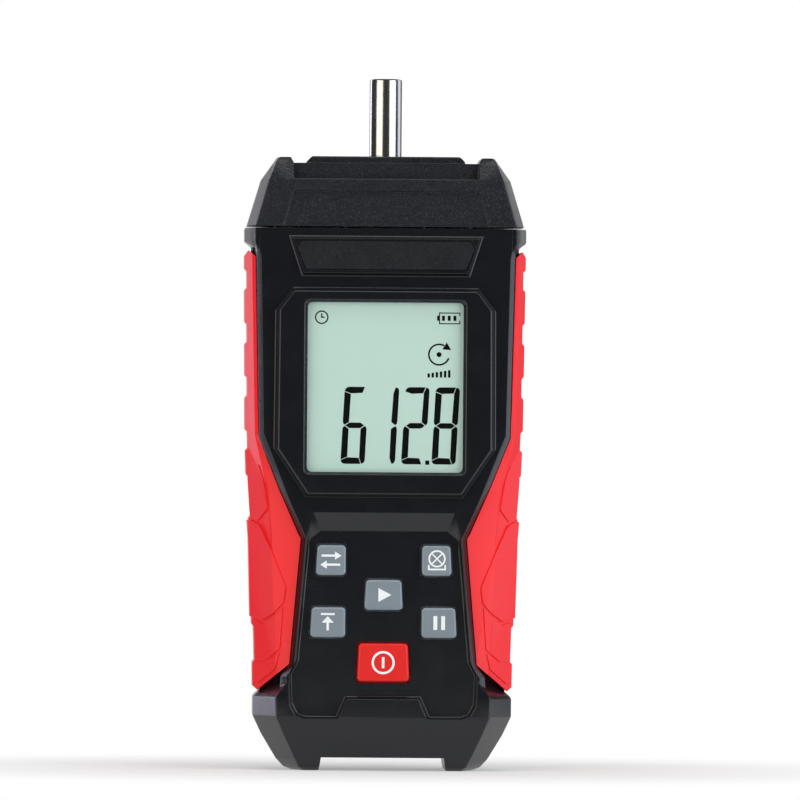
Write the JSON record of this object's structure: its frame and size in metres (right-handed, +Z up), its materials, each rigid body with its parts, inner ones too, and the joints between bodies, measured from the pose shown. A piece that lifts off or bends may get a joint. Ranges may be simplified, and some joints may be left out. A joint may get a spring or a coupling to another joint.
{
  "type": "contact tachometer",
  "caption": "Hand-held contact tachometer with a steel drive shaft in ball bearings, a slotted disc and light barrier, display, keys, soft side grips and a hinged battery door.",
  "frame": {"origin": "middle of the bounding box's underside, between the feet that the meter stands on", "axes": "+Z up along the drive shaft's axis, -Y towards the display and keys, +X to the right when looking at the display"},
  "size_m": [0.0688, 0.038, 0.1691],
  "materials": {
    "case_black": "fine grained black moulding",
    "nose_black": "coarser grained black moulding",
    "grip_red": "soft matt red elastomer",
    "window_clear": "clear and glossy",
    "display_grey": "pale green liquid crystal display",
    "backlight_white": "white light guide",
    "connector_pink": "layered contact rubber",
    "board_green": "green circuit board",
    "chip_black": "moulded chip bodies",
    "mat_grey": "silicone switch mat",
    "key_grey": "matt grey silicone",
    "key_red": "matt red silicone",
    "shaft_steel": "fine turned steel",
    "bearing_steel": "ground bearing steel",
    "screw_steel": "zinc plated",
    "retainer_grey": "stamped sheet",
    "disc_dark": "opaque moulded disc",
    "ribbon_grey": "flat ribbon of insulated wires",
    "laser_brass": "turned barrel",
    "optic_red": "dark red filter",
    "cell_sleeve": "plain metal can",
    "contact_steel": "nickel plated spring steel"
  },
  "bodies": {
    "case": {"front_case": "case_black", "rear_case": "case_black", "nose_cap": "nose_black", "left_grip": "grip_red", "right_grip": "grip_red", "display_window": "window_clear", "display_glass": "display_grey", "display_backlight": "backlight_white", "display_connectors": "connector_pink", "main_board": "board_green", "board_chips": "chip_black", "keypad_mat": "mat_grey", "front_bearing_outer_race": "bearing_steel", "rear_bearing_outer_race": "bearing_steel", "race_sleeve": "shaft_steel", "bearing_retainer": "retainer_grey", "retainer_screws": "screw_steel", "light_barrier": "chip_black", "sensor_board": "board_green", "sensor_board_screws": "screw_steel", "sensor_ribbon": "ribbon_grey", "laser_module": "laser_brass", "light_receiver": "chip_black", "laser_window": "optic_red", "receiver_window": "optic_red", "left_cell": "cell_sleeve", "middle_cell": "cell_sleeve", "right_cell": "cell_sleeve", "battery_springs": "contact_steel", "battery_contacts": "contact_steel", "case_screws": "screw_steel", "nose_screws": "screw_steel", "main_board_screws": "screw_steel"},
    "shaft": {"drive_shaft": "shaft_steel", "front_bearing_inner_race": "bearing_steel", "rear_bearing_inner_race": "bearing_steel", "race_spacer": "shaft_steel", "slotted_disc": "disc_dark", "disc_set_screw": "screw_steel"},
    "front_cage": {"front_bearing_balls": "bearing_steel"},
    "rear_cage": {"rear_bearing_balls": "bearing_steel"},
    "door": {"battery_door": "case_black", "door_screw": "screw_steel"},
    "unit_key": {"unit_key": "key_grey"},
    "light_key": {"light_key": "key_grey"},
    "test_key": {"test_key": "key_grey"},
    "max_key": {"max_key": "key_grey"},
    "hold_key": {"hold_key": "key_grey"},
    "power_key": {"power_key": "key_red"}
  },
  "joints": [
    {"name": "shaft_spin", "type": "hinge", "parent": "case", "child": "shaft", "pos_m": [0, 0, 0.1413], "axis": [0, 0, 1], "continuous": true},
    {"name": "front_cage_spin", "type": "hinge", "parent": "case", "child": "front_cage", "pos_m": [0, 0, 0.1438], "axis": [0, 0, 1], "continuous": true},
    {"name": "rear_cage_spin", "type": "hinge", "parent": "case", "child": "rear_cage", "pos_m": [0, 0, 0.1276], "axis": [0, 0, 1], "continuous": true},
    {"name": "door_hinge", "type": "hinge", "parent": "case", "child": "door", "pos_m": [0, 0.0172, 0.0175], "axis": [-1, 0, 0], "range_deg": [0, 50]},
    {"name": "unit_press", "type": "slide", "parent": "case", "child": "unit_key", "axis": [0, 1, 0], "range_m": [0, 0.0008], "stiffness_N_per_m": 200},
    {"name": "light_press", "type": "slide", "parent": "case", "child": "light_key", "axis": [0, 1, 0], "range_m": [0, 0.0008], "stiffness_N_per_m": 200},
    {"name": "test_press", "type": "slide", "parent": "case", "child": "test_key", "axis": [0, 1, 0], "range_m": [0, 0.0008], "stiffness_N_per_m": 200},
    {"name": "max_press", "type": "slide", "parent": "case", "child": "max_key", "axis": [0, 1, 0], "range_m": [0, 0.0008], "stiffness_N_per_m": 200},
    {"name": "hold_press", "type": "slide", "parent": "case", "child": "hold_key", "axis": [0, 1, 0], "range_m": [0, 0.0008], "stiffness_N_per_m": 200},
    {"name": "power_press", "type": "slide", "parent": "case", "child": "power_key", "axis": [0, 1, 0], "range_m": [0, 0.0008], "stiffness_N_per_m": 200}
  ],
  "couplings": [
    {"joint": "front_cage_spin", "follows": "shaft_spin", "ratio": 0.4208},
    {"joint": "rear_cage_spin", "follows": "shaft_spin", "ratio": 0.4208}
  ]
}
